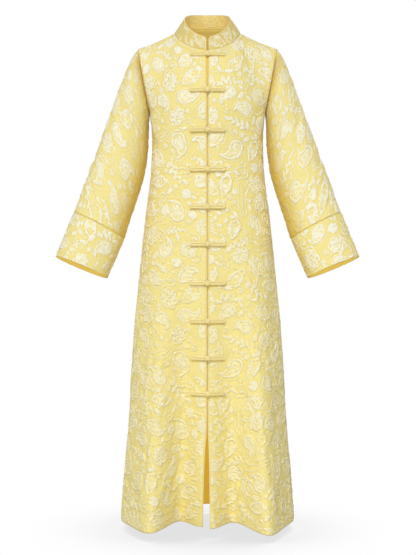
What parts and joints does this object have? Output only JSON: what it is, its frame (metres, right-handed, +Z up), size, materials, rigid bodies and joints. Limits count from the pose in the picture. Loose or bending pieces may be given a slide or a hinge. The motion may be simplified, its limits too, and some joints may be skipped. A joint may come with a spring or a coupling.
{
  "type": "mandarin collar dress",
  "caption": "Long A-line dress with a stand collar, wide set-in sleeves with deep cuffs, knotted frogs down the front and a front slit, in pale yellow brocade.",
  "frame": {"origin": "between the wearer's shoulders, level with the points where the shoulder seams meet the collar", "axes": "+Z up, -Y to the front of the dress, +X to the wearer's left"},
  "size_m": [0.7844, 0.3912, 1.3488],
  "materials": {
    "brocade": "puckered silk brocade with raised ivory motifs",
    "frog_cord": "satin-covered cord",
    "satin": "plain satin"
  },
  "bodies": {
    "root": {"front_left": "brocade", "front_right": "brocade", "back": "brocade", "collar": "brocade", "sleeve_left": "brocade", "sleeve_right": "brocade", "cuff_left": "brocade", "cuff_right": "brocade", "front_underlap": "satin", "frog_01_button": "frog_cord", "frog_01_loop": "frog_cord", "frog_02_button": "frog_cord", "frog_02_loop": "frog_cord", "frog_03_button": "frog_cord", "frog_03_loop": "frog_cord", "frog_04_button": "frog_cord", "frog_04_loop": "frog_cord", "frog_05_button": "frog_cord", "frog_05_loop": "frog_cord", "frog_06_button": "frog_cord", "frog_06_loop": "frog_cord", "frog_07_button": "frog_cord", "frog_07_loop": "frog_cord", "frog_08_button": "frog_cord", "frog_08_loop": "frog_cord", "frog_09_button": "frog_cord", "frog_09_loop": "frog_cord", "frog_10_button": "frog_cord", "frog_10_loop": "frog_cord"}
  },
  "joints": []
}
